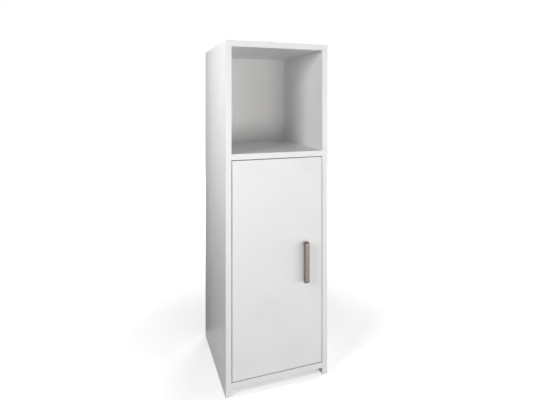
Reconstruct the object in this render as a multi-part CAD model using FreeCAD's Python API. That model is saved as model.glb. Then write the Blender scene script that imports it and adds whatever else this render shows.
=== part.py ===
import FreeCAD, Part
import os

os.makedirs("parts", exist_ok=True)

# A tall, slim bathroom cabinet: an open niche above one inset door on two concealed
# four-bar hinges. The origin is the middle of the footprint, handle included, on the
# floor. +X is to the right of someone facing the front, the front faces -Y, +Z is up.

# ---- driving dimensions, millimetres -------------------------------------------------
# carcass
cabinet_height = 950.0
cabinet_width = 300.0
cabinet_depth = 300.0
board = 16.0                    # laminated board of sides, top, shelves and bottom
foot_height = 20.0              # the sides run on below the bottom panel
niche_floor_height = 646.0      # upper face of the fixed shelf
back_thickness = 3.0
back_lap = 8.0                  # the back panel reaches this far over each side
back_play = 0.5
edge_round = 0.6                # soft edges round the banded faces
parallel = 0.9                  # what counts as running along an axis

# door
door_thickness = 16.0
door_gap = 2.0                  # at the sides and the top
door_bottom_gap = 2.5

# adjustable shelf and its holes
shelf_height = 330.0            # underside of the adjustable shelf
shelf_side_play = 0.6
shelf_setback = 34.0            # behind the cabinet's front edges
shelf_back_play = 3.0
shelf_pin_diameter = 5.0
shelf_pin_grip = 9.0            # length of the peg inside the side panel
shelf_hole_depth = 10.0
shelf_hole_pitch = 32.0
shelf_holes_each_way = 2        # spare holes above and below the shelf
shelf_pin_inset = 37.0          # from the shelf's front and rear edges
pin_lug_length = 7.0
pin_lug_width = 8.0
pin_lug_height = 4.0
pin_collar_diameter = 10.0
pin_collar_thickness = 1.2

# knock-down fittings
cam_diameter = 15.0
cam_height = 12.0
cam_bore_play = 0.4             # left under the cam in its bore
cam_backset = 34.0              # from the panel's end to the cam's middle
cam_bolt_depth = 8.0            # from the bored face to the bolt's axis
cam_front_inset = 45.0          # from the cabinet's front edges
cam_rear_inset = 50.0           # from the cabinet's rear edges
cam_slot_length = 9.0           # each arm of the cross slot
cam_slot_width = 1.2
cam_slot_depth = 2.5
bolt_thread_diameter = 5.0
bolt_thread_length = 11.0
bolt_neck_diameter = 3.6
bolt_head_diameter = 6.4
bolt_head_length = 2.4
bolt_bore_diameter = 7.0
bolt_play = 0.3                 # round the bolt's head inside the cam
dowel_diameter = 8.0
dowel_length = 30.0
dowel_in_face = 10.5            # part of the dowel that sits in a panel's face
dowel_end_play = 0.5
dowel_offset = 32.0             # from the bolt to the dowel beside it
cover_diameter = 18.0
cover_thickness = 0.4           # self-adhesive caps

# nails of the back panel
nail_diameter = 1.5
nail_length = 20.0
nail_head_diameter = 3.6
nail_head_thickness = 0.8
nails_per_side = 6
nail_end_inset = 40.0

# handle
handle_length = 116.0
handle_width = 13.0
handle_bar_depth = 9.5
handle_projection = 19.0
handle_round = 0.9
handle_end_round = 8.0          # the bar's ends curve back towards the door
handle_middle_height = 334.7
handle_from_door_edge = 53.0
handle_hole_spacing = 96.0
handle_post_diameter = 7.0
handle_screw_diameter = 4.0
handle_screw_grip = 7.0         # thread inside the post
handle_screw_play = 0.25
handle_screw_head_diameter = 8.0
handle_screw_head_height = 2.4
screw_slot_width = 1.0
screw_slot_depth = 0.9
screw_slot_overrun = 0.5        # the slot is cut this far past the head

# door stop under the fixed shelf
stop_width = 26.0
stop_depth = 16.0
stop_height = 11.0
stop_gap = 0.3                  # behind the closed door
stop_side_inset = 14.0
stop_corner_round = 2.0
stop_screw_diameter = 3.5
stop_screw_head_diameter = 7.0
stop_screw_head_height = 1.8
stop_screw_grip = 11.0

# concealed hinges; x is from the door's hinge edge, depth is from the door's rear
# face, positive into the cabinet and negative into the door
hinge_inset = 90.0              # from the door's ends to each hinge
cup_diameter = 35.0
cup_edge_distance = 3.0         # wood left between the cup and the door's edge
cup_bore_depth = 12.0
cup_depth = 11.9
cup_floor = 0.6
cup_wall = 0.8
cup_play = 0.05
cup_pocket_half_width = 8.4
flange_thickness = 1.2
flange_diameter = 39.0
flange_edge_inset = 0.8
rim_notch_depth = 3.0           # the cup's rim is cut away where the links fold over it
ear_reach = 24.0                # from the cup's middle to each ear screw
ear_setback = 6.0               # ear screws lie further from the door's edge than the cup
ear_radius = 5.5
cup_screw_diameter = 3.5
cup_screw_head_diameter = 6.6
cup_screw_head_height = 1.7
cup_screw_length = 12.0

pivot_diameter = 2.0
pivot_play = 0.05               # running fit of the links on their pins
cup_pin_half_length = 10.4
outer_arm_pivot_x = 28.4
outer_arm_pivot_depth = 14.2
outer_cup_pivot_x = 9.0
outer_cup_pivot_depth = -3.9
inner_arm_pivot_x = 31.4
inner_arm_pivot_depth = 1.8
inner_cup_pivot_x = 12.4
inner_cup_pivot_depth = -7.0
open_eye_x = 12.03              # resting place of the inner link's oversize eye
open_eye_depth = -7.86
open_eye_play = 1.0             # takes up what the fixed turning ratios leave over
link_bar_width = 2.6
outer_link_knee_x = 24.3
outer_link_knee_depth = 7.35
outer_link_toe_x = 16.4
outer_link_toe_depth = -3.4
inner_link_knee_x = 24.4
inner_link_knee_depth = -3.75
inner_link_toe_x = 17.3
inner_link_toe_depth = -8.15
arm_eye_diameter = 4.8          # of either link, round its pin in the arm
outer_cup_eye_diameter = 4.6
open_eye_diameter = 5.0
inner_link_half_width = 3.6
link_side_play = 0.3
outer_link_plate = 2.3          # thickness of each of the outer link's two plates

arm_sheet = 1.3
arm_side_play = 0.3
arm_reach = 88.0                # from the door's front face to the arm's rear end
arm_crank_start = 53.0          # the rest of the arm's places, also from the front face
arm_foot_start = 45.0
arm_shoulder_start = 40.0
arm_shoulder_x = 8.0
arm_foot_x = 1.5
arm_back_x = 11.0
nose_radius = 2.6

plate_backset = 38.0            # from the door's rear face to the plate's screws
wing_half_height = 25.0
wing_width = 13.0
wing_thickness = 2.5
wing_corner_round = 4.0
plate_screw_spacing = 32.0
plate_screw_diameter = 4.2
plate_screw_length = 13.0
plate_screw_head_diameter = 7.5
plate_screw_head_height = 1.8
rail_play = 0.2
arm_screw_diameter = 4.0
arm_screw_length = 11.0
arm_screw_head_diameter = 7.0
arm_screw_head_height = 2.0
fixing_screw_inset = 8.0        # from the arm's rear end
adjusting_screw_inset = 26.0

# ---- planes worked out from the sizes ------------------------------------------------
V = FreeCAD.Vector
RIGHT, BACK, UP = V(1, 0, 0), V(0, 1, 0), V(0, 0, 1)
LEFT, FRONT, DOWN = V(-1, 0, 0), V(0, -1, 0), V(0, 0, -1)

left_x = -cabinet_width / 2
right_x = cabinet_width / 2
inner_left = left_x + board
inner_right = right_x - board
front_y = handle_projection - (cabinet_depth + handle_projection) / 2
back_y = front_y + cabinet_depth
board_back_y = back_y - back_thickness
top_under = cabinet_height - board
bottom_upper = foot_height + board
niche_shelf_under = niche_floor_height - board
door_left = inner_left + door_gap
door_right = inner_right - door_gap
door_bottom = bottom_upper + door_bottom_gap
door_top = niche_shelf_under - door_gap
door_back_y = front_y + door_thickness
hinge_heights = {"upper": door_top - hinge_inset, "lower": door_bottom + hinge_inset}


# ---- helpers ---------------------------------------------------------------------------
def block(x0, y0, z0, x1, y1, z1):
    return Part.makeBox(x1 - x0, y1 - y0, z1 - z0, V(x0, y0, z0))


def rod(diameter, start, direction, length):
    return Part.makeCylinder(diameter / 2, length, start, direction)


def fuse(pieces):
    return pieces[0].multiFuse(pieces[1:]).removeSplitter()


def prism(points, z0, z1):
    """A plan outline raised from z0 to z1."""
    corners = [V(x, y, z0) for x, y in points]
    return Part.Face(Part.makePolygon(corners + corners[:1])).extrude(V(0, 0, z1 - z0))


def soften(shape, *directions):
    """Rounds the edges round a board's banded faces, which face the given ways."""
    edges = {}
    for face in shape.Faces:
        if any(face.normalAt(0, 0).dot(way) > parallel for way in directions):
            edges.update((edge.hashCode(), edge) for edge in face.Edges)
    return shape.makeFillet(edge_round, list(edges.values()))


def round_along(shape, direction, radius):
    """Rounds the straight edges that run along a direction."""
    edges = [e for e in shape.Edges
             if abs(e.tangentAt(e.FirstParameter).dot(direction)) > parallel]
    return shape.makeFillet(radius, edges)


def slot_box(corner, a, length, b, width, c, depth):
    """A box spanned from a corner along three square directions."""
    base = Part.makePolygon([corner, corner + a * length, corner + a * length + b * width,
                             corner + b * width, corner])
    return Part.Face(base).extrude(c * depth)


def screw(diameter, length, head_diameter, head_height, seat, direction):
    """A pan-head screw whose head rests on seat; direction points along the thread."""
    shank = rod(diameter, seat, direction, length)
    head = rod(head_diameter, seat - direction * head_height, direction, head_height)
    across = V(direction.y, direction.z, direction.x)
    along = direction.cross(across)
    half_length = head_diameter / 2 + screw_slot_overrun
    corner = (seat - direction * head_height - along * half_length
              - across * (screw_slot_width / 2))
    slot = slot_box(corner, along, 2 * half_length, across, screw_slot_width,
                    direction, screw_slot_depth)
    return shank.fuse(head).cut(slot).removeSplitter()


def save(name, shape):
    if isinstance(shape, list):
        shape = Part.makeCompound(shape)
    shape.exportStep("parts/%s.step" % name)


# ---- knock-down fittings ---------------------------------------------------------------
class Joint:
    """The cams, bolts and dowels where an end panel meets the face of another panel."""

    def __init__(self):
        self.cams, self.bolts, self.dowels = [], [], []
        self.face_cuts, self.end_cuts, self.cam_faces = [], [], []

    def add_cam(self, face_point, run, bore):
        """face_point: bolt's axis in the joint plane; bore: from the cam's open face inwards."""
        middle = face_point + run * cam_backset
        open_face = middle - bore * cam_bolt_depth
        cam = rod(cam_diameter, open_face, bore, cam_height)
        head_start = middle - run * (bolt_head_length / 2)
        pocket = rod(bolt_head_diameter + 2 * bolt_play, head_start - run * bolt_play, run,
                     bolt_head_length + 2 * bolt_play)
        neck_way = rod(bolt_neck_diameter + 2 * bolt_play, middle - run * cam_diameter, run,
                       cam_diameter)
        side = bore.cross(run)
        slots = []
        for axis, cross in ((run, side), (side, run)):
            corner = open_face - axis * (cam_slot_length / 2) - cross * (cam_slot_width / 2)
            slots.append(slot_box(corner, axis, cam_slot_length, cross, cam_slot_width,
                                  bore, cam_slot_depth))
        self.cams.append(cam.cut([pocket, neck_way] + slots))
        thread = rod(bolt_thread_diameter, face_point - run * bolt_thread_length, run,
                     bolt_thread_length)
        neck = rod(bolt_neck_diameter, face_point, run, cam_backset - bolt_head_length / 2)
        head = rod(bolt_head_diameter, head_start, run, bolt_head_length)
        self.bolts.append(fuse([thread, neck, head]))
        self.face_cuts.append(thread)
        self.end_cuts.append(rod(cam_diameter, open_face, bore, cam_height + cam_bore_play))
        self.end_cuts.append(rod(bolt_bore_diameter, face_point, run, cam_backset))
        self.cam_faces.append((open_face, bore))

    def add_dowel(self, face_point, run):
        start = face_point - run * dowel_in_face
        self.dowels.append(rod(dowel_diameter, start, run, dowel_length))
        self.face_cuts.append(rod(dowel_diameter, start - run * dowel_end_play, run,
                                  dowel_in_face + dowel_end_play))
        self.end_cuts.append(rod(dowel_diameter, face_point, run,
                                 dowel_length - dowel_in_face + dowel_end_play))


def horizontal_joint(panel_under):
    """Both ends of a horizontal panel between the sides, bored from below."""
    joint = Joint()
    bolt_z = panel_under + cam_bolt_depth
    dowel_z = panel_under + board / 2
    for face_x, run in ((inner_left, RIGHT), (inner_right, LEFT)):
        for y, step in ((front_y + cam_front_inset, dowel_offset),
                        (back_y - cam_rear_inset, -dowel_offset)):
            joint.add_cam(V(face_x, y, bolt_z), run, UP)
            joint.add_dowel(V(face_x, y + step, dowel_z), run)
    return joint


def top_joint():
    """The top panel on the upper ends of the sides, bored from inside the niche."""
    joint = Joint()
    for face_x, bore in ((inner_left, LEFT), (inner_right, RIGHT)):
        for y, step in ((front_y + cam_front_inset, dowel_offset),
                        (back_y - cam_rear_inset, -dowel_offset)):
            bolt_x = face_x + bore.x * cam_bolt_depth
            dowel_x = face_x + bore.x * board / 2
            joint.add_cam(V(bolt_x, y, top_under), DOWN, bore)
            joint.add_dowel(V(dowel_x, y + step, top_under), DOWN)
    return joint


def cam_covers(joint):
    return [rod(cover_diameter, face - bore * cover_thickness, bore, cover_thickness)
            for face, bore in joint.cam_faces]


# ---- back panel and nails --------------------------------------------------------------
def back_nails():
    shank = nail_length - nail_head_thickness
    places = []
    for i in range(nails_per_side):
        low = foot_height + nail_end_inset
        high = cabinet_height - nail_end_inset
        z = low + (high - low) * i / (nails_per_side - 1)
        places += [(inner_left - back_lap / 2, z), (inner_right + back_lap / 2, z)]
    places += [(0, foot_height + board / 2), (0, niche_shelf_under + board / 2),
               (0, top_under + back_lap / 2)]
    nails = []
    for x, z in places:
        head = rod(nail_head_diameter, V(x, back_y, z), FRONT, nail_head_thickness)
        pin = rod(nail_diameter, V(x, back_y - nail_head_thickness, z), FRONT, shank)
        nails.append(head.fuse(pin).removeSplitter())
    return nails


def back_rebate():
    return block(inner_left - back_lap, board_back_y, foot_height,
                 inner_right + back_lap, back_y, top_under + back_lap)


def back_panel(nails):
    panel = block(inner_left - back_lap + back_play, board_back_y, foot_height + back_play,
                  inner_right + back_lap - back_play, back_y, top_under + back_lap - back_play)
    return panel.cut(nails)


# ---- adjustable shelf ------------------------------------------------------------------
shelf_front_y = front_y + shelf_setback
shelf_back_y = board_back_y - shelf_back_play
pin_rows_y = (shelf_front_y + shelf_pin_inset, shelf_back_y - shelf_pin_inset)
pin_height = shelf_height - shelf_pin_diameter / 2


def adjustable_shelf():
    shelf = block(inner_left + shelf_side_play, shelf_front_y, shelf_height,
                  inner_right - shelf_side_play, shelf_back_y, shelf_height + board)
    return soften(shelf, FRONT)


def shelf_pins():
    pins = []
    for face_x, inward in ((inner_left, RIGHT), (inner_right, LEFT)):
        for y in pin_rows_y:
            root = V(face_x, y, pin_height)
            peg = rod(shelf_pin_diameter, root - inward * shelf_pin_grip, inward, shelf_pin_grip)
            collar = rod(pin_collar_diameter, root, inward, pin_collar_thickness)
            reach = inward * (pin_collar_thickness + pin_lug_length)
            corner = V(face_x, y - pin_lug_width / 2, shelf_height - pin_lug_height)
            lug = slot_box(corner, inward, reach.Length, BACK, pin_lug_width, UP, pin_lug_height)
            over = block(-cabinet_width, y - cabinet_depth, shelf_height,
                         cabinet_width, y + cabinet_depth, shelf_height + board)
            pins.append(fuse([peg, collar, lug]).cut(over))
    return pins


def shelf_holes(face_x, outward):
    holes = []
    for y in pin_rows_y:
        for i in range(-shelf_holes_each_way, shelf_holes_each_way + 1):
            start = V(face_x, y, pin_height + i * shelf_hole_pitch)
            holes.append(rod(shelf_pin_diameter, start, outward, shelf_hole_depth))
    return holes


# ---- handle ----------------------------------------------------------------------------
handle_x = door_right - handle_from_door_edge
handle_post_length = handle_projection - handle_bar_depth
handle_post_heights = [handle_middle_height + s * handle_hole_spacing / 2 for s in (-1, 1)]


def handle_bar():
    left = handle_x - handle_width / 2
    front = front_y - handle_projection
    rear = front_y - handle_post_length
    bar = block(left, front, handle_middle_height - handle_length / 2,
                left + handle_width, rear, handle_middle_height + handle_length / 2)
    ends = [e for e in bar.Edges
            if e.BoundBox.YMax < front + 0.01 and e.BoundBox.XLength > handle_width - 0.01]
    bar = bar.makeFillet(handle_end_round, ends)
    rims = [e for e in bar.Edges
            if e.BoundBox.XLength < 0.01 or e.BoundBox.YMin > rear - 0.01]
    return bar.makeFillet(handle_round, rims)


def handle_screws():
    length = door_thickness + handle_screw_grip
    return [screw(handle_screw_diameter, length, handle_screw_head_diameter,
                  handle_screw_head_height, V(handle_x, door_back_y, z), FRONT)
            for z in handle_post_heights]


def handle_posts(screws):
    posts = []
    for z, fixing in zip(handle_post_heights, screws):
        post = rod(handle_post_diameter, V(handle_x, front_y, z), FRONT, handle_post_length)
        posts.append(post.cut(fixing))
    return posts


# ---- door stop -------------------------------------------------------------------------
def stop_middle():
    return V(inner_right - stop_side_inset - stop_width / 2,
             door_back_y + stop_gap + stop_depth / 2, niche_shelf_under - stop_height)


def door_stop_screw():
    return screw(stop_screw_diameter, stop_height + stop_screw_grip, stop_screw_head_diameter,
                 stop_screw_head_height, stop_middle(), UP)


def door_stop(fixing):
    middle = stop_middle()
    y0 = door_back_y + stop_gap
    body = block(middle.x - stop_width / 2, y0, middle.z,
                 middle.x + stop_width / 2, y0 + stop_depth, niche_shelf_under)
    return round_along(body, UP, stop_corner_round).cut(fixing)


# ---- concealed hinges ------------------------------------------------------------------
def at(x, depth, z=0.0):
    """A place given from the door's hinge edge and its rear face."""
    return V(door_left + x, door_back_y + depth, z)


outer_arm_pivot = (outer_arm_pivot_x, outer_arm_pivot_depth)
outer_cup_pivot = (outer_cup_pivot_x, outer_cup_pivot_depth)
inner_arm_pivot = (inner_arm_pivot_x, inner_arm_pivot_depth)
inner_cup_pivot = (inner_cup_pivot_x, inner_cup_pivot_depth)
open_eye = (open_eye_x, open_eye_depth)
cup_middle_x = cup_edge_distance + cup_diameter / 2
outer_link_inside = inner_link_half_width + link_side_play
outer_link_half_width = outer_link_inside + outer_link_plate
cheek_inside = outer_link_half_width + arm_side_play
arm_half_width = cheek_inside + arm_sheet
arm_rear = arm_reach - door_thickness
crank_depth = arm_crank_start - door_thickness


def bent_bar(points, eyes, z0, z1):
    """A flat bar through plan points, with a round eye of a given diameter at each end."""
    widths = [eyes[0]] + [link_bar_width] * (len(points) - 2) + [eyes[1]]
    pieces = [rod(w, at(x, d, z0), UP, z1 - z0) for (x, d), w in zip(points, widths)]
    for (xa, da), (xb, db) in zip(points, points[1:]):
        a, b = at(xa, da, z0), at(xb, db, z0)
        along = b - a
        across = UP.cross(along).normalize()
        corner = a - across * (link_bar_width / 2)
        pieces.append(slot_box(corner, V(along).normalize(), along.Length, across,
                               link_bar_width, UP, z1 - z0))
    return fuse(pieces)


def pin(place, z, half_length):
    return rod(pivot_diameter, at(*place, z - half_length), UP, 2 * half_length)


def pin_way(place, z, diameter):
    return rod(diameter, at(*place, z - cup_diameter), UP, 2 * cup_diameter)


def outer_link(z):
    toe = (outer_link_toe_x, outer_link_toe_depth)
    knee = (outer_link_knee_x, outer_link_knee_depth)
    route = [outer_cup_pivot, toe, knee, outer_arm_pivot]
    eyes = (outer_cup_eye_diameter, arm_eye_diameter)
    upper = bent_bar(route, eyes, z + outer_link_inside, z + outer_link_half_width)
    lower = bent_bar(route, eyes, z - outer_link_half_width, z - outer_link_inside)
    hub = rod(arm_eye_diameter, at(*outer_arm_pivot, z - outer_link_inside), UP,
              2 * outer_link_inside)
    link = fuse([upper, lower, hub])
    bore = pivot_diameter + 2 * pivot_play
    return link.cut(pin_way(outer_cup_pivot, z, bore)).cut(pin_way(outer_arm_pivot, z, bore))


def inner_link(z):
    toe = (inner_link_toe_x, inner_link_toe_depth)
    knee = (inner_link_knee_x, inner_link_knee_depth)
    route = [open_eye, toe, knee, inner_arm_pivot]
    link = bent_bar(route, (open_eye_diameter, arm_eye_diameter),
                    z - inner_link_half_width, z + inner_link_half_width)
    wide = pivot_diameter + 2 * open_eye_play
    bore = pivot_diameter + 2 * pivot_play
    return link.cut(pin_way(open_eye, z, wide)).cut(pin_way(inner_arm_pivot, z, bore))


def arm_pins(z):
    return [pin(outer_arm_pivot, z, arm_half_width), pin(inner_arm_pivot, z, arm_half_width)]


def cup_pins(z):
    return [pin(outer_cup_pivot, z, cup_pin_half_length),
            pin(inner_cup_pivot, z, cup_pin_half_length)]


def arm_screws(z):
    screws = []
    for inset in (fixing_screw_inset, adjusting_screw_inset):
        seat = at(arm_back_x, arm_rear - inset, z)
        screws.append(screw(arm_screw_diameter, arm_screw_length, arm_screw_head_diameter,
                            arm_screw_head_height, seat, LEFT))
    return screws


def hinge_arm(z, pins, screws):
    nose_x = inner_arm_pivot_x + nose_radius
    back_x = outer_arm_pivot_x + nose_radius + arm_sheet
    outline = [(arm_foot_x, arm_rear), (arm_foot_x, arm_foot_start - door_thickness),
               (arm_shoulder_x, arm_shoulder_start - door_thickness),
               (outer_arm_pivot_x - nose_radius, outer_arm_pivot_depth - nose_radius),
               (inner_arm_pivot_x - nose_radius, inner_arm_pivot_depth),
               (nose_x, inner_arm_pivot_depth), (nose_x, outer_arm_pivot_depth),
               (back_x, outer_arm_pivot_depth + nose_radius + arm_sheet),
               (arm_back_x, crank_depth), (arm_back_x, arm_rear)]
    places = [(at(x, d).x, at(x, d).y) for x, d in outline]
    pieces = []
    for z0, z1 in ((z - arm_half_width, z - cheek_inside), (z + cheek_inside, z + arm_half_width)):
        pieces.append(prism(places, z0, z1))
        pieces.append(rod(2 * nose_radius, at(*inner_arm_pivot, z0), UP, z1 - z0))
    web = [(arm_back_x, arm_rear), (arm_back_x, crank_depth),
           (back_x, outer_arm_pivot_depth + nose_radius + arm_sheet),
           (back_x - arm_sheet, outer_arm_pivot_depth + nose_radius),
           (arm_back_x - arm_sheet, crank_depth - arm_sheet / 2),
           (arm_back_x - arm_sheet, arm_rear)]
    pieces.append(prism([(at(x, d).x, at(x, d).y) for x, d in web],
                        z - arm_half_width, z + arm_half_width))
    return fuse(pieces).cut(pins + screws)


def plate_screws(z):
    seat_x = wing_thickness - door_gap
    return [screw(plate_screw_diameter, plate_screw_length, plate_screw_head_diameter,
                  plate_screw_head_height, at(seat_x, plate_backset, z + s * plate_screw_spacing / 2),
                  LEFT) for s in (-1, 1)]


def hinge_plate(z, screws):
    foot = -door_gap
    near, far = plate_backset - wing_width / 2, plate_backset + wing_width / 2
    wing = block(at(foot, 0).x, at(0, near).y, z - wing_half_height,
                 at(foot + wing_thickness, 0).x, at(0, far).y, z + wing_half_height)
    wing = round_along(wing, RIGHT, wing_corner_round)
    half = cheek_inside - rail_play
    rail = block(at(foot, 0).x, at(0, near).y, z - half,
                 at(arm_back_x - arm_sheet, 0).x, at(0, arm_rear).y, z + half)
    return fuse([wing, rail]).cut(screws)


def cup_screws(z):
    screws = []
    for side in (-1, 1):
        seat = at(cup_middle_x + ear_setback, flange_thickness, z + side * ear_reach)
        head = Part.makeCone(cup_screw_head_diameter / 2, cup_screw_diameter / 2,
                             cup_screw_head_height, seat, FRONT)
        shank = rod(cup_screw_diameter, seat, FRONT, cup_screw_length)
        screws.append(head.fuse(shank).removeSplitter())
    return screws


def hinge_cup(z, pins, screws):
    middle = at(cup_middle_x, 0, z)
    body = rod(cup_diameter - 2 * cup_play, middle, FRONT, cup_depth)
    pocket_depth = cup_depth - cup_floor
    pocket = rod(cup_diameter - 2 * (cup_play + cup_wall), middle + BACK * flange_thickness, FRONT,
                 pocket_depth + flange_thickness)
    wide = block(at(0, 0).x - cup_diameter, at(0, -cup_depth).y, z - cup_pocket_half_width,
                 at(2 * cup_diameter, 0).x, at(0, flange_thickness).y, z + cup_pocket_half_width)
    pocket = pocket.common(wide)
    flange = rod(flange_diameter, middle, BACK, flange_thickness)
    ears = [rod(2 * ear_radius, at(cup_middle_x + ear_setback, 0, z + s * ear_reach), BACK,
                flange_thickness) for s in (-1, 1)]
    ears.append(block(at(cup_middle_x + ear_setback - ear_radius, 0).x, door_back_y, z - ear_reach,
                      at(cup_middle_x + ear_setback + ear_radius, 0).x,
                      door_back_y + flange_thickness, z + ear_reach))
    flange = fuse([flange] + ears)
    beyond_edge = block(at(-cup_diameter, 0).x, door_back_y, z - cup_diameter,
                        at(flange_edge_inset, 0).x, door_back_y + flange_thickness, z + cup_diameter)
    notch = block(at(-cup_diameter, 0).x, door_back_y - rim_notch_depth, z - cup_pocket_half_width,
                  at(cup_middle_x, 0).x, door_back_y + flange_thickness, z + cup_pocket_half_width)
    cup = fuse([body, flange.cut(beyond_edge)])
    return cup.cut([pocket, notch] + pins + screws)


# ---- boards ----------------------------------------------------------------------------
def door_panel(cuts):
    panel = block(door_left, front_y, door_bottom, door_right, door_back_y, door_top)
    return soften(panel, FRONT, BACK).cut(cuts)


def side_panel(inner_face_x, outward, cuts):
    x0, x1 = sorted((inner_face_x, inner_face_x + outward.x * board))
    side = soften(block(x0, front_y, 0, x1, back_y, top_under), FRONT)
    return side.cut([back_rebate()] + shelf_holes(inner_face_x, outward) + cuts)


def top_panel(cuts):
    top = block(left_x, front_y, top_under, right_x, back_y, cabinet_height)
    return soften(top, LEFT, FRONT, RIGHT).cut([back_rebate()] + cuts)


def board_between(under, cuts):
    """A horizontal board between the sides, up to the back panel."""
    flat = block(inner_left, front_y, under, inner_right, board_back_y, under + board)
    return soften(flat, FRONT).cut(cuts)


# ---- assembly --------------------------------------------------------------------------
joints = {"top": top_joint(), "fixed_shelf": horizontal_joint(niche_shelf_under),
          "bottom": horizontal_joint(foot_height)}
for name, joint in joints.items():
    save(name + "_cams", joint.cams)
    save(name + "_cam_bolts", joint.bolts)
    save(name + "_dowels", joint.dowels)
save("cam_covers", cam_covers(joints["top"]))

nails = back_nails()
save("back_panel_nails", nails)
save("back_panel", back_panel(nails))

plate_fixings, arm_fixings, arm_axles, cup_axles, cup_fixings, door_cuts = [], [], [], [], [], []
for name, z in hinge_heights.items():
    fixings, screws, axles = plate_screws(z), arm_screws(z), arm_pins(z)
    save(name + "_hinge_plate", hinge_plate(z, fixings + screws))
    save(name + "_hinge_arm", hinge_arm(z, axles, screws))
    save(name + "_outer_link", outer_link(z))
    save(name + "_inner_link", inner_link(z))
    swivels, ear_screws = cup_pins(z), cup_screws(z)
    save(name + "_hinge_cup", hinge_cup(z, swivels, ear_screws))
    door_cuts.append(rod(cup_diameter, at(cup_middle_x, 0, z), FRONT, cup_bore_depth))
    door_cuts += ear_screws
    plate_fixings += fixings
    arm_fixings += screws
    arm_axles += axles
    cup_axles += swivels
    cup_fixings += ear_screws
save("hinge_plate_screws", plate_fixings)
save("hinge_arm_screws", arm_fixings)
save("hinge_arm_pins", arm_axles)
save("hinge_cup_pins", cup_axles)
save("hinge_cup_screws", cup_fixings)

handle_fixings = handle_screws()
save("handle_bar", handle_bar())
save("handle_posts", handle_posts(handle_fixings))
save("handle_screws", handle_fixings)
door_cuts += [rod(handle_screw_diameter + 2 * handle_screw_play, V(handle_x, door_back_y, z), FRONT,
                  door_thickness) for z in handle_post_heights]
save("door_panel", door_panel(door_cuts))

stop_screw = door_stop_screw()
save("door_stop_screw", stop_screw)
save("door_stop", door_stop(stop_screw))
save("adjustable_shelf", adjustable_shelf())
save("shelf_pins", shelf_pins())

side_cuts = nails + plate_fixings + joints["top"].end_cuts
side_cuts += joints["fixed_shelf"].face_cuts + joints["bottom"].face_cuts
save("left_side_panel", side_panel(inner_left, LEFT, side_cuts))
save("right_side_panel", side_panel(inner_right, RIGHT, side_cuts))
save("top_panel", top_panel(nails + joints["top"].face_cuts))
save("fixed_shelf", board_between(niche_shelf_under,
                                  nails + joints["fixed_shelf"].end_cuts + [stop_screw]))
save("bottom_panel", board_between(foot_height, nails + joints["bottom"].end_cuts))
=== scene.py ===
import math
from functools import reduce

import bmesh
import bpy
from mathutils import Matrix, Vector


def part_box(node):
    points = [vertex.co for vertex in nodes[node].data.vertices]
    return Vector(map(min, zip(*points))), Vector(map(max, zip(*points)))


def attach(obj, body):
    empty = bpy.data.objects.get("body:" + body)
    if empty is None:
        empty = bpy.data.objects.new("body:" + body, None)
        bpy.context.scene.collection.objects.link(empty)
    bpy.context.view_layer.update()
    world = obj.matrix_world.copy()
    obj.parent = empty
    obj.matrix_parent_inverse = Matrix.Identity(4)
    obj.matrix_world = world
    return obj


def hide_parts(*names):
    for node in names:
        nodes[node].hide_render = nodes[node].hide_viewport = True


# The looks of a tall bathroom cabinet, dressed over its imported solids. Metres, one frame with
# the solids: +X to the right, the front faces -Y, +Z up, the floor at z = 0.

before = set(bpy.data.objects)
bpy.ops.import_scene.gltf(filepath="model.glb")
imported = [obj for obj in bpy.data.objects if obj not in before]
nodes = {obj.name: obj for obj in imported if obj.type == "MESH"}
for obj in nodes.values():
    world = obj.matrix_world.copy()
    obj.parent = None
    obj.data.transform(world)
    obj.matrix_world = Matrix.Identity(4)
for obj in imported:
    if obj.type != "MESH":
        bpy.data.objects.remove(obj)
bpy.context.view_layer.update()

X, Y, Z = 0, 1, 2
LOW, HIGH = -1, 1               # which end of a board along an axis
MM = 0.001
FULL_TURN = 2 * math.pi


# ---- node trees ----------------------------------------------------------------------
class Value:
    """A socket that takes part in sums. Each operation on it adds its Math node."""

    def __init__(self, graph, socket):
        self.graph = graph
        self.socket = socket

    def maths(self, operation, *terms):
        return self.graph.node("ShaderNodeMath", {"operation": operation}, dict(enumerate(terms)))

    def __add__(self, other):
        return self.maths("ADD", self, other)

    def __sub__(self, other):
        return self.maths("SUBTRACT", self, other)

    def __rsub__(self, other):
        return self.maths("SUBTRACT", other, self)

    def __mul__(self, other):
        return self.maths("MULTIPLY", self, other)

    def __truediv__(self, other):
        return self.maths("DIVIDE", self, other)

    def __abs__(self):
        return self.maths("ABSOLUTE", self)

    def __lt__(self, other):
        return self.maths("LESS_THAN", self, other)

    def __gt__(self, other):
        return self.maths("GREATER_THAN", self, other)

    __radd__ = __add__
    __rmul__ = __mul__

    def most(self, other):
        return self.maths("MAXIMUM", self, other)

    def ramp(self, start, end):
        """Goes from 0 to 1 as the value goes from start to end, smoothly."""
        inputs = {"Value": self, "From Min": start, "From Max": end}
        return self.graph.node("ShaderNodeMapRange", {"interpolation_type": "SMOOTHSTEP"}, inputs)


class Graph:
    """A node tree, built node by node."""

    def __init__(self, tree):
        self.tree = tree

    def node(self, kind, settings=None, inputs=None, output=0):
        made = self.tree.nodes.new(kind)
        for setting, value in (settings or {}).items():
            setattr(made, setting, value)
        for name, value in (inputs or {}).items():
            self.feed(self.find(made.inputs, name), value)
        return Value(self, self.find(made.outputs, output))

    @staticmethod
    def find(sockets, name):
        """A socket by its number, its name or its identifier."""
        if isinstance(name, int):
            return sockets[name]
        return next(s for s in sockets if name in (s.identifier, s.name))

    def feed(self, socket, value):
        if isinstance(value, Value):
            self.tree.links.new(value.socket, socket)
        elif isinstance(value, list):
            for one in value:
                self.feed(socket, one)
        else:
            socket.default_value = value


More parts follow.
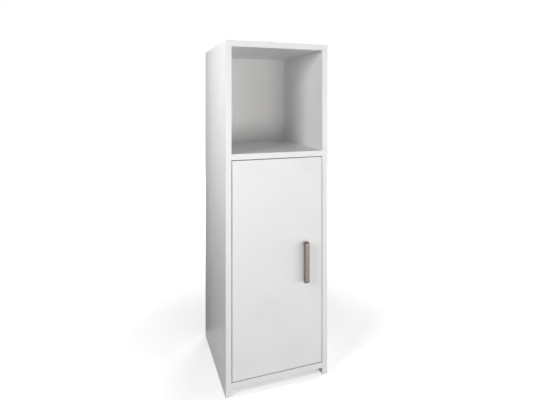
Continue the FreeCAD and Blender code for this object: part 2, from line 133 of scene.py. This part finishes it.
class Finish(Graph):
    """One material on a Principled shader, in Object coordinates."""

    def __init__(self, name, colour, roughness, metallic=0.0, **constants):
        self.material = bpy.data.materials.new(name)
        self.material.use_nodes = True
        super().__init__(self.material.node_tree)
        self.surface = self.tree.nodes["Principled BSDF"]
        self.set("Base Color", colour)
        self.set("Roughness", roughness)
        self.set("Metallic", metallic)
        for socket, value in constants.items():
            self.set(socket.replace("_", " "), value)
        self.place = self.node("ShaderNodeTexCoord", output="Object")

    def set(self, socket, value):
        if socket == "Base Color" and not isinstance(value, Value):
            value = (*value, 1)
        self.feed(self.surface.inputs[socket], value)

    def axes(self):
        split = self.node("ShaderNodeSeparateXYZ", inputs={"Vector": self.place})
        return [Value(self, socket) for socket in split.socket.node.outputs]

    def stretched(self, scale):
        return self.node("ShaderNodeMapping", inputs={"Vector": self.place, "Scale": scale})

    def noise(self, scale, detail=3.0, roughness=0.5, vector=None):
        inputs = {
            "Vector": vector or self.place,
            "Scale": scale,
            "Detail": detail,
            "Roughness": roughness,
        }
        return self.node("ShaderNodeTexNoise", inputs=inputs)

    def streaks(self, scales, detail, roughness):
        """Noise with its own scale along each axis."""
        return self.noise(1.0, detail, roughness, self.stretched(scales))

    def cells(self, scale, vector):
        """Random levels from 0 to 1, one for each cell of a broken-up pattern."""
        inputs = {"Vector": vector, "Scale": scale}
        spots = self.node("ShaderNodeTexVoronoi", inputs=inputs, output="Color")
        return self.node("ShaderNodeSeparateColor", inputs={0: spots})

    def blend(self, factor, first, second):
        """Goes from the first colour to the second as the factor goes from 0 to 1."""
        inputs = {
            "Factor_Float": factor,
            "A_Color": first if isinstance(first, Value) else (*first, 1),
            "B_Color": second if isinstance(second, Value) else (*second, 1),
        }
        return self.node("ShaderNodeMix", {"data_type": "RGBA"}, inputs, "Result_Color")

    def grey(self, level):
        return self.node("ShaderNodeCombineColor", inputs={0: level, 1: level, 2: level})

    def bump(self, height, distance):
        inputs = {"Height": height, "Distance": distance, "Strength": 1.0}
        self.set("Normal", self.node("ShaderNodeBump", inputs=inputs, output="Normal"))


# ---- laminated boards ----------------------------------------------------------------
LAMINATE = (0.800, 0.795, 0.797)
LAMINATE_WORN = (0.765, 0.757, 0.755)
BANDING = (0.795, 0.791, 0.791)
SEAM = (0.52, 0.50, 0.48)
CHIP_PALE = (0.50, 0.35, 0.20)
CHIP_DARK = (0.20, 0.115, 0.055)
LAMINATE_ROUGHNESS = 0.36
CHIP_ROUGHNESS = 0.92

FACE_TOLERANCE = 0.05 * MM      # how near to its plane a surface counts as laminated
BANDED_DEPTH = 0.7 * MM         # takes in the banding's rounded edges
BAND_THICKNESS = 0.8 * MM
SEAM_HALF_WIDTH = 0.04 * MM

LACQUER = (0.745, 0.740, 0.730)
LACQUER_DULL = (0.70, 0.693, 0.68)
LACQUER_ROUGHNESS = 0.42
HARDBOARD_DARK = (0.13, 0.062, 0.028)
HARDBOARD_MIDDLE = (0.27, 0.15, 0.075)
HARDBOARD_PALE = (0.34, 0.185, 0.088)
SCREEN_PITCH = 1.3 * MM

# board: the axis through its laminated faces, and its banded edges
BOARDS = {
    "left_side_panel": (X, [(Y, LOW)]),
    "right_side_panel": (X, [(Y, LOW)]),
    "top_panel": (Z, [(Y, LOW), (X, LOW), (X, HIGH)]),
    "fixed_shelf": (Z, [(Y, LOW)]),
    "bottom_panel": (Z, [(Y, LOW)]),
    "adjustable_shelf": (Z, [(Y, LOW)]),
    "door_panel": (Y, [(X, LOW), (X, HIGH), (Z, LOW), (Z, HIGH)]),
}


def chipboard(finish):
    """Pressed wood flakes: their colour and their height."""
    flat_lying = finish.stretched((1.0, 1.0, 2.2))
    flakes = finish.cells(scale=700.0, vector=flat_lying)
    grain = finish.noise(scale=1800.0, detail=2.0)
    colour = finish.blend(flakes * 0.7 + grain * 0.3, CHIP_DARK, CHIP_PALE)
    return colour, flakes * 0.6 + grain * 0.4


def banding(place, low, high, banded):
    """1 on the banded edges, and 1 on the fine lines where the bands meet the faces."""
    strips = []
    lines = []
    for axis, end in banded:
        depth = place[axis] - low[axis] if end == LOW else high[axis] - place[axis]
        strips.append(depth < BANDED_DEPTH)
        lines.append(abs(depth - BAND_THICKNESS) < SEAM_HALF_WIDTH)
    return reduce(Value.most, strips), reduce(Value.most, lines)


def laminated(board, across, banded):
    """White melamine on both faces, banding on the named edges, raw chipboard elsewhere."""
    low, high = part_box(board)
    finish = Finish(board + "_finish", LAMINATE, roughness=0.4)
    place = finish.axes()
    middle = (low[across] + high[across]) / 2
    half = (high[across] - low[across]) / 2
    smooth = abs(place[across] - middle) > half - FACE_TOLERANCE
    band, seam = banding(place, low, high, banded)
    white = smooth.most(band)
    clouds = finish.noise(scale=9.0, detail=4.0)
    peel = finish.noise(scale=1300.0, detail=2.0)
    chips, chip_height = chipboard(finish)
    face = finish.blend(clouds.ramp(0.45, 0.85), LAMINATE, LAMINATE_WORN)
    face = finish.blend(band, face, BANDING)
    face = finish.blend(seam, face, SEAM)
    finish.set("Base Color", finish.blend(white, chips, face))
    sheen = LAMINATE_ROUGHNESS + peel * 0.05 + clouds * 0.07 - band * 0.03
    finish.set("Roughness", white * sheen + (1 - white) * CHIP_ROUGHNESS)
    height = white * peel * 0.05 + (1 - white) * chip_height - seam * 0.08
    finish.bump(height, distance=0.3 * MM)
    return finish


def lacquered_back():
    """Hardboard with white lacquer in front, brown and marked by its screen behind."""
    low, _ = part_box("back_panel")
    finish = Finish("back_panel_finish", (0.72, 0.715, 0.705), roughness=0.45)
    x, y, z = finish.axes()
    front = y < low[Y] + FACE_TOLERANCE
    behind = 1 - front
    fibres = finish.streaks((1400.0, 1400.0, 520.0), detail=5.0, roughness=0.65)
    clouds = finish.noise(scale=7.0)
    white = finish.blend(clouds, LACQUER, LACQUER_DULL)
    brown = finish.blend(fibres, HARDBOARD_DARK, HARDBOARD_PALE)
    brown = finish.blend(clouds.ramp(0.4, 0.8), brown, HARDBOARD_MIDDLE)
    finish.set("Base Color", finish.blend(front, brown, white))
    finish.set("Roughness", front * LACQUER_ROUGHNESS + behind * (0.62 + fibres * 0.2))
    threads = screen_wave(x).most(screen_wave(z))
    height = front * fibres * 0.08 + behind * (threads * 0.45 + fibres * 0.4)
    finish.bump(height, distance=0.15 * MM)
    return finish


def screen_wave(along):
    """The mark that the press's wire screen leaves, one rise for each of its wires."""
    return abs((along / SCREEN_PITCH * math.pi).maths("SINE"))


# ---- metal, wood and plastic ---------------------------------------------------------
NICKEL_DARK = (0.15, 0.127, 0.119)
NICKEL_PALE = (0.21, 0.18, 0.17)
WOOD_PALE = (0.66, 0.40, 0.19)
WOOD_DARK = (0.46, 0.235, 0.09)
WOOD_RAY = (0.30, 0.13, 0.05)


def brushed_nickel():
    """Satin nickel, brushed along the bar."""
    finish = Finish("brushed_nickel", (0.18, 0.154, 0.144), roughness=0.36, metallic=1.0)
    strokes = finish.streaks((5200.0, 5200.0, 60.0), detail=4.0, roughness=0.7)
    clouds = finish.noise(scale=45.0)
    tone = strokes * 0.6 + clouds * 0.4
    finish.set("Base Color", finish.blend(tone, NICKEL_DARK, NICKEL_PALE))
    finish.set("Roughness", 0.33 + strokes * 0.13 + clouds * 0.05)
    finish.bump(strokes, distance=0.012 * MM)
    return finish


def bright_metal(name, dark, pale, roughness, grain_scale, grain_height):
    """Plated or cast metal: a fine grain, and a coat that is a little uneven."""
    finish = Finish(name, pale, roughness, metallic=1.0)
    clouds = finish.noise(scale=160.0, detail=4.0)
    grain = finish.noise(grain_scale)
    finish.set("Base Color", finish.blend(clouds.ramp(0.25, 0.75), dark, pale))
    finish.set("Roughness", roughness - 0.06 + clouds * 0.08 + grain * 0.06)
    finish.bump(grain, grain_height)
    return finish


def beech(name, along):
    """Beech with its grain along one axis, and its short dark rays."""
    finish = Finish(name, (0.57, 0.32, 0.133), roughness=0.6)
    grain_scales = tuple(70.0 if axis == along else 1500.0 for axis in (X, Y, Z))
    ray_scales = tuple(420.0 if axis == along else 2600.0 for axis in (X, Y, Z))
    grain = finish.streaks(grain_scales, detail=4.0, roughness=0.6)
    flecks = finish.cells(scale=1.0, vector=finish.stretched(ray_scales)) > 0.86
    wood = finish.blend(grain, WOOD_PALE, WOOD_DARK)
    finish.set("Base Color", finish.blend(flecks * 0.6, wood, WOOD_RAY))
    finish.set("Roughness", 0.52 + grain * 0.2)
    finish.bump(grain - flecks * 0.3, distance=0.05 * MM)
    return finish


def moulded(name, colour, shade, roughness, **constants):
    """Injection-moulded plastic with a fine spark-eroded texture."""
    finish = Finish(name, colour, roughness, **constants)
    texture = finish.noise(scale=2600.0, detail=2.0)
    flow = finish.noise(scale=70.0)
    finish.set("Base Color", finish.blend(flow.ramp(0.3, 0.8), colour, shade))
    finish.set("Roughness", roughness - 0.05 + texture * 0.1)
    finish.bump(texture, distance=0.02 * MM)
    return finish


NICKEL_PLATE = bright_metal(
    "nickel_plate", dark=(0.50, 0.48, 0.45), pale=(0.60, 0.585, 0.56), roughness=0.27,
    grain_scale=1500.0, grain_height=0.006 * MM)
CAST_ZINC = bright_metal(
    "cast_zinc", dark=(0.33, 0.34, 0.35), pale=(0.44, 0.45, 0.465), roughness=0.46,
    grain_scale=900.0, grain_height=0.03 * MM)
ZINC_PLATE = bright_metal(
    "zinc_plate", dark=(0.46, 0.475, 0.49), pale=(0.58, 0.585, 0.59), roughness=0.32,
    grain_scale=1900.0, grain_height=0.008 * MM)
NAIL_STEEL = bright_metal(
    "bright_steel", dark=(0.40, 0.40, 0.41), pale=(0.52, 0.52, 0.53), roughness=0.36,
    grain_scale=2400.0, grain_height=0.02 * MM)
HANDLE_METAL = brushed_nickel()
CAP_PLASTIC = moulded(
    "white_cap_plastic", colour=(0.80, 0.80, 0.79), shade=(0.77, 0.768, 0.752), roughness=0.42)
STOP_NYLON = moulded(
    "natural_nylon", colour=(0.72, 0.70, 0.64), shade=(0.64, 0.615, 0.55), roughness=0.34,
    Subsurface_Weight=0.3, Subsurface_Scale=4 * MM)
BEECH_ACROSS = beech("beech_across", X)
BEECH_UPRIGHT = beech("beech_upright", Z)


def dress(finish, *names):
    for name in names:
        mesh = nodes[name].data
        mesh.materials.clear()
        mesh.materials.append(finish.material)


for board, (across, banded) in BOARDS.items():
    dress(laminated(board, across, banded), board)
dress(lacquered_back(), "back_panel")
dress(HANDLE_METAL, "handle_bar", "handle_posts")
dress(CAST_ZINC, "top_cams", "fixed_shelf_cams", "bottom_cams")
dress(ZINC_PLATE, "shelf_pins", "hinge_arm_pins", "hinge_cup_pins")
dress(STOP_NYLON, "door_stop")
for height in ("upper_", "lower_"):
    for part in ("hinge_arm", "hinge_plate", "hinge_cup", "inner_link", "outer_link"):
        dress(NICKEL_PLATE, height + part)


# ---- small turned pieces, set out where their solids are -------------------------------
SAME_POINT = 0.001 * MM         # corners of a solid this near to each other are one
CUT_SLIVER = 0.003 * MM         # and so are points that a recess cuts
CRISP_ANGLE = math.radians(32)  # rims that turn by more stay crisp
SETTING_SEED = 7

SIZES = ("Recess length", "Recess width", "Recess depth", "Thread radius", "Thread start",
         "Thread length", "Thread turns", "Thread height")


def turned(name, outline, sides, flute=0.0):
    """A closed solid turned about Z from its outline of (radius, height), end to end.

    With a flute, every second side line lies that much nearer to the axis."""
    shape = bmesh.new()
    first = shape.verts.new((0, 0, outline[0][1]))
    last = shape.verts.new((0, 0, outline[-1][1]))
    rings = []
    for radius, height in outline[1:-1]:
        ring = []
        for side in range(sides):
            turn = FULL_TURN * side / sides
            reach = radius - flute * (side % 2)
            ring.append(shape.verts.new((reach * math.cos(turn), reach * math.sin(turn), height)))
        rings.append(ring)
    for side in range(sides):
        after = (side + 1) % sides
        shape.faces.new((first, rings[0][side], rings[0][after]))
        shape.faces.new((last, rings[-1][after], rings[-1][side]))
        for upper, lower in zip(rings, rings[1:]):
            shape.faces.new((upper[side], lower[side], lower[after], upper[after]))
    bmesh.ops.recalc_face_normals(shape, faces=shape.faces)
    mesh = bpy.data.meshes.new(name)
    shape.to_mesh(mesh)
    shape.free()
    return bpy.data.objects.new(name, mesh)


def solids_of(node):
    """The lowest and highest corner of each separate solid in a node."""
    shape = bmesh.new()
    shape.from_mesh(nodes[node].data)
    bmesh.ops.remove_doubles(shape, verts=shape.verts, dist=SAME_POINT)
    waiting = set(shape.verts)
    boxes = []
    while waiting:
        group = [waiting.pop()]
        for vert in group:
            for edge in vert.link_edges:
                other = edge.other_vert(vert)
                if other in waiting:
                    waiting.discard(other)
                    group.append(other)
        corners = list(zip(*(vert.co for vert in group)))
        boxes.append(([min(axis) for axis in corners], [max(axis) for axis in corners]))
    shape.free()
    return sorted(boxes)


def seats(node, axis, towards):
    """Where each solid starts, and which way it points from there. With no way given, each
    points away from the cabinet's middle."""
    found = []
    for low, high in solids_of(node):
        place = [(a + b) / 2 for a, b in zip(low, high)]
        way = towards if towards else (LOW if place[axis] < 0 else HIGH)
        place[axis] = low[axis] if way == HIGH else high[axis]
        direction = [0, 0, 0]
        direction[axis] = way
        found.append((place, direction))
    return found


def setting_out(name):
    """A tree that puts a machined piece on every place and gives them all their finish."""
    graph = Graph(bpy.data.node_groups.new(name, "GeometryNodeTree"))
    size = named_inputs(graph)
    placed = graph.node("GeometryNodeInstanceOnPoints", inputs={
        "Points": size["Places"],
        "Instance": machined(graph, size),
        "Rotation": facing(graph, size["Seed"]),
    })
    real = graph.node("GeometryNodeRealizeInstances", inputs={"Geometry": placed})
    done = graph.node("GeometryNodeSetMaterial", inputs={
        "Geometry": real, "Material": size["Finish"]})
    end = graph.tree.nodes.new("NodeGroupOutput")
    graph.feed(end.inputs["Pieces"], done)
    return graph.tree


def named_inputs(graph):
    """Gives the tree its named inputs and its output, and returns the inputs by name."""
    inputs = [("Places", "Geometry"), ("Piece", "Object"), ("Finish", "Material")]
    inputs += [(size, "Float") for size in SIZES]
    inputs.append(("Seed", "Int"))
    sockets = graph.tree.interface
    for name, kind in inputs:
        sockets.new_socket(name, in_out="INPUT", socket_type="NodeSocket" + kind)
    sockets.new_socket("Pieces", in_out="OUTPUT", socket_type="NodeSocketGeometry")
    start = graph.tree.nodes.new("NodeGroupInput")
    return {socket.name: Value(graph, socket) for socket in start.outputs}


def machined(graph, size):
    """The turned piece, with a drive recess and a thread where it has them."""
    body = graph.node("GeometryNodeObjectInfo", inputs={"Object": size["Piece"]}, output="Geometry")
    cut = graph.node("GeometryNodeMeshBoolean", {"operation": "DIFFERENCE", "solver": "EXACT"},
                     {"Mesh 1": body, "Mesh 2": recess_arms(graph, size)})
    cut = graph.node("GeometryNodeMergeByDistance", inputs={
        "Geometry": cut, "Distance": CUT_SLIVER})
    driven = where(graph, size["Recess depth"], cut, body)
    threaded = graph.node("GeometryNodeJoinGeometry", inputs={0: [driven, thread_ridge(graph, size)]})
    return where(graph, size["Thread turns"], threaded, driven)


def facing(graph, seed):
    """The way each piece points, turned about itself by a random angle."""
    way = graph.node("GeometryNodeInputNamedAttribute", {"data_type": "FLOAT_VECTOR"},
                     {"Name": "direction"})
    aligned = graph.node("FunctionNodeAlignRotationToVector", {"axis": "Z"}, {"Vector": way})
    angle = graph.node("FunctionNodeRandomValue", {"data_type": "FLOAT"},
                       {"Max_001": FULL_TURN, "Seed": seed}, "Value_001")
    turn = graph.node("FunctionNodeAxisAngleToRotation", inputs={"Axis": (0, 0, 1), "Angle": angle})
    return graph.node("FunctionNodeRotateRotation", {"rotation_space": "LOCAL"},
                      {"Rotation": aligned, "Rotate By": turn})


def where(graph, size, shape, otherwise):
    """The first shape where the size is more than nothing, or else the other."""
    return graph.node("GeometryNodeSwitch", {"input_type": "GEOMETRY"}, {
        "Switch": size, "True": shape, "False": otherwise})


def recess_arms(graph, size):
    """The two bars that a cross recess is cut with."""
    double_depth = size["Recess depth"] * 2
    arms = []
    for quarter in (0, FULL_TURN / 4):
        arm_size = graph.node("ShaderNodeCombineXYZ", inputs={
            "X": size["Recess length"], "Y": size["Recess width"], "Z": double_depth})
        bar = graph.node("GeometryNodeMeshCube", inputs={"Size": arm_size}, output="Mesh")
        arms.append(graph.node("GeometryNodeTransform", inputs={
            "Geometry": bar, "Rotation": (0, 0, quarter)}))
    return arms


def thread_ridge(graph, size):
    """A ridge that winds down the shank."""
    wind = graph.node("GeometryNodeCurveSpiral", inputs={
        "Resolution": 14, "Rotations": size["Thread turns"],
        "Start Radius": size["Thread radius"], "End Radius": size["Thread radius"],
        "Height": size["Thread length"]})
    ridge = graph.node("GeometryNodeCurvePrimitiveCircle", inputs={
        "Resolution": 3, "Radius": size["Thread height"]})
    wound = graph.node("GeometryNodeCurveToMesh", inputs={
        "Curve": wind, "Profile Curve": ridge, "Fill Caps": True})
    down = graph.node("ShaderNodeCombineXYZ", inputs={"Z": size["Thread start"]})
    return graph.node("GeometryNodeTransform", inputs={"Geometry": wound, "Translation": down})


SETTING_OUT = setting_out("setting_out")


def set_out(node, body, slot, finish, piece, axis, towards=0, **sizes):
    """Replaces a node of small solids by one mesh of turned pieces."""
    given = {"Piece": piece, "Finish": finish.material, "Seed": SETTING_SEED}
    given.update((name.replace("_", " ").capitalize(), size) for name, size in sizes.items())
    mesh = set_on(places_of(node, axis, towards), given)
    bpy.data.objects.remove(piece)
    tidy_mesh(mesh)
    made = bpy.data.objects.new(node + "_turned", mesh)
    bpy.context.scene.collection.objects.link(made)
    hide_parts(node)
    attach(made, body)


def places_of(node, axis, towards):
    """A mesh of one point for each solid of the node, which holds the way it faces."""
    places = seats(node, axis, towards)
    points = bpy.data.meshes.new(node + "_places")
    points.from_pydata([place for place, _ in places], [], [])
    directions = points.attributes.new("direction", "FLOAT_VECTOR", "POINT")
    for entry, (_, direction) in zip(directions.data, places):
        entry.vector = direction
    return points


def set_on(points, given):
    """The plain mesh that the setting-out tree makes of these points and inputs."""
    holder = bpy.data.objects.new(points.name, points)
    bpy.context.scene.collection.objects.link(holder)
    modifier = holder.modifiers.new("setting_out", "NODES")
    modifier.node_group = SETTING_OUT
    for socket in SETTING_OUT.interface.items_tree:
        if socket.in_out == "INPUT" and socket.name in given:
            modifier[socket.identifier] = given[socket.name]
    result = holder.evaluated_get(bpy.context.evaluated_depsgraph_get())
    mesh = bpy.data.meshes.new_from_object(result)
    holder.modifiers.remove(modifier)
    bpy.data.objects.remove(holder)
    return mesh


def tidy_mesh(mesh):
    """Drops the setting-out attribute and keeps rims crisp and turned sides smooth."""
    if "direction" in mesh.attributes:
        mesh.attributes.remove(mesh.attributes["direction"])
    mesh.shade_smooth()
    mesh.set_sharp_from_angle(angle=CRISP_ANGLE)


def pan_head(head_diameter, head_height, shank_diameter, length):
    """A domed head and a pointed shank, from the top of the head down."""
    rim = head_diameter / 2
    shank = shank_diameter / 2
    return turned("pan_head_screw", [
        (0, 0), (0.45 * rim, 0), (0.75 * rim, 0.12 * head_height),
        (0.94 * rim, 0.42 * head_height), (rim, 0.75 * head_height), (rim, head_height),
        (shank, head_height), (shank, length - 1.6 * shank), (0.25 * shank, length), (0, length),
    ], sides=32)


def cam_bolt():
    """Ball head, neck, collar and threaded root, from the head down."""
    head = 3.2 * MM
    neck = 1.8 * MM
    collar = 1.6 * neck
    root = 2.2 * MM
    end = 46.2 * MM
    return turned("cam_bolt", [
        (0, 0), (0.55 * head, 0), (0.9 * head, 0.5 * MM), (head, 1.1 * MM), (head, 1.5 * MM),
        (0.8 * head, 2.2 * MM), (neck, 2.6 * MM), (neck, 31.7 * MM), (collar, 32.2 * MM),
        (collar, 34.4 * MM), (root, 35.2 * MM), (root, 44.0 * MM), (0.4 * root, end), (0, end),
    ], sides=20)


def fluted_dowel():
    """A dowel with tapered ends and glue flutes along its side."""
    radius = 4.0 * MM
    length = 30.0 * MM
    chamfer = 1.4 * MM
    tip = radius - chamfer * 0.7
    return turned("dowel", [
        (0, 0), (tip, 0), (radius, chamfer), (radius, length - chamfer), (tip, length),
        (0, length),
    ], sides=40, flute=0.28 * MM)


def cap():
    """A thin stick-on cap with a rounded rim, from its face down."""
    under = 0.4 * MM
    return turned("cap", [
        (0, 0), (8.2 * MM, 0), (8.7 * MM, 0.06 * MM), (8.95 * MM, 0.18 * MM), (9.0 * MM, under),
        (0, under),
    ], sides=48)


def panel_nail():
    """A flat head with a slight crown, and a pointed shank."""
    head = 1.8 * MM
    shank = 0.75 * MM
    point = 20 * MM
    return turned("nail", [
        (0, 0), (1.2 * MM, 0.05 * MM), (1.65 * MM, 0.16 * MM), (head, 0.3 * MM),
        (head, 0.65 * MM), (shank, 0.8 * MM), (shank, 18.4 * MM), (0.1 * MM, point), (0, point),
    ], sides=16)


def set_screws(node, body, axis, towards, head, shank, recess, thread, turns):
    """Screws, with sizes in millimetres: head as diameter and height, shank as diameter and
    whole length, recess as length, width and depth, thread as start, length and height."""
    head_diameter, head_height = (size * MM for size in head)
    shank_diameter, length = (size * MM for size in shank)
    recess_length, recess_width, recess_depth = (size * MM for size in recess)
    thread_start, thread_length, thread_height = (size * MM for size in thread)
    set_out(node, body, "plated_steel", ZINC_PLATE,
            pan_head(head_diameter, head_height, shank_diameter, length), axis, towards,
            recess_length=recess_length, recess_width=recess_width, recess_depth=recess_depth,
            thread_radius=shank_diameter / 2, thread_start=thread_start,
            thread_length=thread_length, thread_turns=turns, thread_height=thread_height)


def set_cam_bolts(node, axis, towards):
    set_out(node, "cabinet", "plated_steel", ZINC_PLATE, cam_bolt(), axis, towards,
            recess_length=3.0 * MM, recess_width=0.7 * MM, recess_depth=0.8 * MM,
            thread_radius=2.15 * MM, thread_start=35.6 * MM, thread_length=8.4 * MM,
            thread_turns=5.0, thread_height=0.34 * MM)


set_screws("hinge_plate_screws", "cabinet", X, LOW, head=(7.5, 1.8), shank=(3.2, 14.8),
           recess=(4.0, 0.95, 1.15), thread=(2.6, 10.0, 0.5), turns=5.5)
set_screws("hinge_arm_screws", "cabinet", X, LOW, head=(7.0, 2.0), shank=(3.3, 13.0),
           recess=(4.0, 0.95, 1.2), thread=(2.8, 9.4, 0.3), turns=12.0)
set_screws("hinge_cup_screws", "door", Y, LOW, head=(6.6, 1.7), shank=(2.6, 12.0),
           recess=(3.6, 0.9, 1.0), thread=(2.4, 8.0, 0.42), turns=5.0)
set_screws("handle_screws", "door", Y, LOW, head=(8.0, 2.4), shank=(3.4, 25.4),
           recess=(4.6, 1.05, 1.5), thread=(11.5, 12.5, 0.28), turns=17.0)
set_screws("door_stop_screw", "cabinet", Z, HIGH, head=(7.0, 1.8), shank=(2.6, 23.8),
           recess=(3.8, 0.9, 1.1), thread=(12.6, 9.4, 0.42), turns=6.0)
set_cam_bolts("top_cam_bolts", Z, HIGH)
set_out("top_dowels", "cabinet", "beech", BEECH_UPRIGHT, fluted_dowel(), Z, HIGH)
for level in ("fixed_shelf", "bottom"):
    set_cam_bolts(level + "_cam_bolts", X, 0)
    set_out(level + "_dowels", "cabinet", "beech", BEECH_ACROSS, fluted_dowel(), X, HIGH)
set_out("cam_covers", "cabinet", "white_plastic", CAP_PLASTIC, cap(), X)
set_out("back_panel_nails", "cabinet", "plated_steel", NAIL_STEEL, panel_nail(), Y, LOW)


# ---- floor, light and camera ---------------------------------------------------------
FRAME_WIDTH = 533               # pixels
FRAME_HEIGHT = 400
FOCAL_PIXELS = 400.88           # focal length over the width of one pixel
CENTRE_X = 267.33               # the pixel that the lens points at
CENTRE_Y = 100.53
CAMERA_PLACE = (-0.38927, -1.18110, 0.78948)
CAMERA_TURN = math.radians(18.88)       # to the right of straight ahead
SENSOR_WIDTH = 36.0             # millimetres


def make_camera():
    """A level camera, whose lens is shifted so that uprights stay upright."""
    lens = bpy.data.cameras.new("camera")
    lens.sensor_fit = "HORIZONTAL"
    lens.sensor_width = SENSOR_WIDTH
    lens.lens = FOCAL_PIXELS / FRAME_WIDTH * SENSOR_WIDTH
    lens.shift_x = (FRAME_WIDTH / 2 - CENTRE_X) / FRAME_WIDTH
    lens.shift_y = (CENTRE_Y - FRAME_HEIGHT / 2) / FRAME_WIDTH
    camera = bpy.data.objects.new("camera", lens)
    camera.location = CAMERA_PLACE
    camera.rotation_euler = (math.radians(90), 0, -CAMERA_TURN)
    bpy.context.scene.collection.objects.link(camera)
    bpy.context.scene.camera = camera


def lamp(name, place, aim, size, watts):
    light = bpy.data.lights.new(name, "AREA")
    light.shape = "RECTANGLE"
    light.size, light.size_y = size
    light.energy = watts
    holder = bpy.data.objects.new(name, light)
    holder.location = place
    holder.rotation_euler = (Vector(aim) - Vector(place)).to_track_quat("-Z", "Y").to_euler()
    bpy.context.scene.collection.objects.link(holder)


def seen_directly(graph):
    """1 where the eye sees a thing itself, in a mirror or through glass, and 0 elsewhere."""
    path = graph.node("ShaderNodeLightPath").socket.node.outputs
    camera, glossy, through = (Value(graph, path[ray]) for ray in (
        "Is Camera Ray", "Is Glossy Ray", "Is Transmission Ray"))
    return camera.most(glossy).most(through)


def make_world():
    """White to the eye, and dark as a light."""
    world = bpy.data.worlds.new("studio")
    world.use_nodes = True
    graph = Graph(world.node_tree)
    background = world.node_tree.nodes["Background"]
    background.inputs["Color"].default_value = (1, 1, 1, 1)
    graph.feed(background.inputs["Strength"], seen_directly(graph))
    bpy.context.scene.world = world


def flat_sheet(name, corners):
    mesh = bpy.data.meshes.new(name)
    mesh.from_pydata(corners, [], [range(len(corners))])
    sheet = bpy.data.objects.new(name, mesh)
    bpy.context.scene.collection.objects.link(sheet)
    return sheet


def make_floor():
    """A white floor that keeps the cabinet's shadow and throws little light back. Away from
    the cabinet it glows as much as the background does."""
    reach = 14.0
    bounce = 0.3
    near_glow = 0.45
    glow_rises_from = 0.25
    glow_is_full_at = 1.1
    floor = flat_sheet("floor", [
        (-reach, -reach, 0), (reach, -reach, 0), (reach, reach, 0), (-reach, reach, 0)])
    finish = Finish("studio_floor", (1, 1, 1), roughness=1.0, Specular_IOR_Level=0.0)
    seen = seen_directly(finish)
    finish.set("Base Color", finish.blend(seen, (bounce, bounce, bounce), (1.0, 1.0, 1.0)))
    away = finish.node("ShaderNodeVectorMath", {"operation": "LENGTH"}, {0: finish.place}, "Value")
    rise = away.ramp(glow_rises_from, glow_is_full_at)
    glow = seen * (near_glow + rise * (1 - near_glow))
    finish.set("Emission Color", finish.grey(glow))
    finish.set("Emission Strength", 1.0)
    floor.data.materials.append(finish.material)


def make_side_glow():
    """A tall sheet behind the cabinet, at its left, that glows and only shows in the gloss of its
    side: a painted reflection of a lit wall.
    It is dim in a strip beside the cabinet, a painted shadow of the cabinet on that wall, and
    brighter high up, painted light."""
    near = -0.152
    far = -2.2
    shadow_strip_width = 0.10
    behind = 0.187
    height = 2.2
    foot_level = 0.6
    gain_upwards = 2.6
    shadow_strip_gain = 0.9
    sheet = flat_sheet("wall_glow", [
        (near, behind, 0), (far, behind, 0), (far, behind, height), (near, behind, height)])
    finish = Finish("glowing_sheet", (0, 0, 0), roughness=1.0, Specular_IOR_Level=0.0)
    x, _, z = finish.axes()
    away = x.ramp(near, near - shadow_strip_width)
    up = z.ramp(0.0, 1.0)
    # painted reflection: the glow grows brighter upwards, and stays dim in the strip beside the
    # cabinet as a painted shadow
    level = away * (foot_level + up * gain_upwards) + (1 - away) * up * shadow_strip_gain
    finish.set("Emission Strength", 1.0)
    finish.set("Emission Color", finish.grey(level))
    sheet.data.materials.append(finish.material)
    for ray in ("camera", "diffuse", "shadow", "transmission", "volume_scatter"):
        setattr(sheet, "visible_" + ray, False)


make_camera()
make_world()
make_floor()
make_side_glow()
lamp("key_light", place=(-1.3, -0.85, 1.15), aim=(0, -0.05, 0.8), size=(0.5, 0.5), watts=14)
lamp("right_softbox", place=(2.2, -1.9, 0.6), aim=(0, 0, 0.4), size=(2.8, 1.6), watts=46)
lamp("low_front_softbox", place=(0, -2.5, 0.4), aim=(0, 0, 0.3), size=(1.4, 0.8), watts=22)
lamp("rear_softbox", place=(1.6, 2.6, 1.5), aim=(0, 0, 0.5), size=(1.6, 1.6), watts=45)

bpy.context.scene.view_settings.view_transform = "Standard"
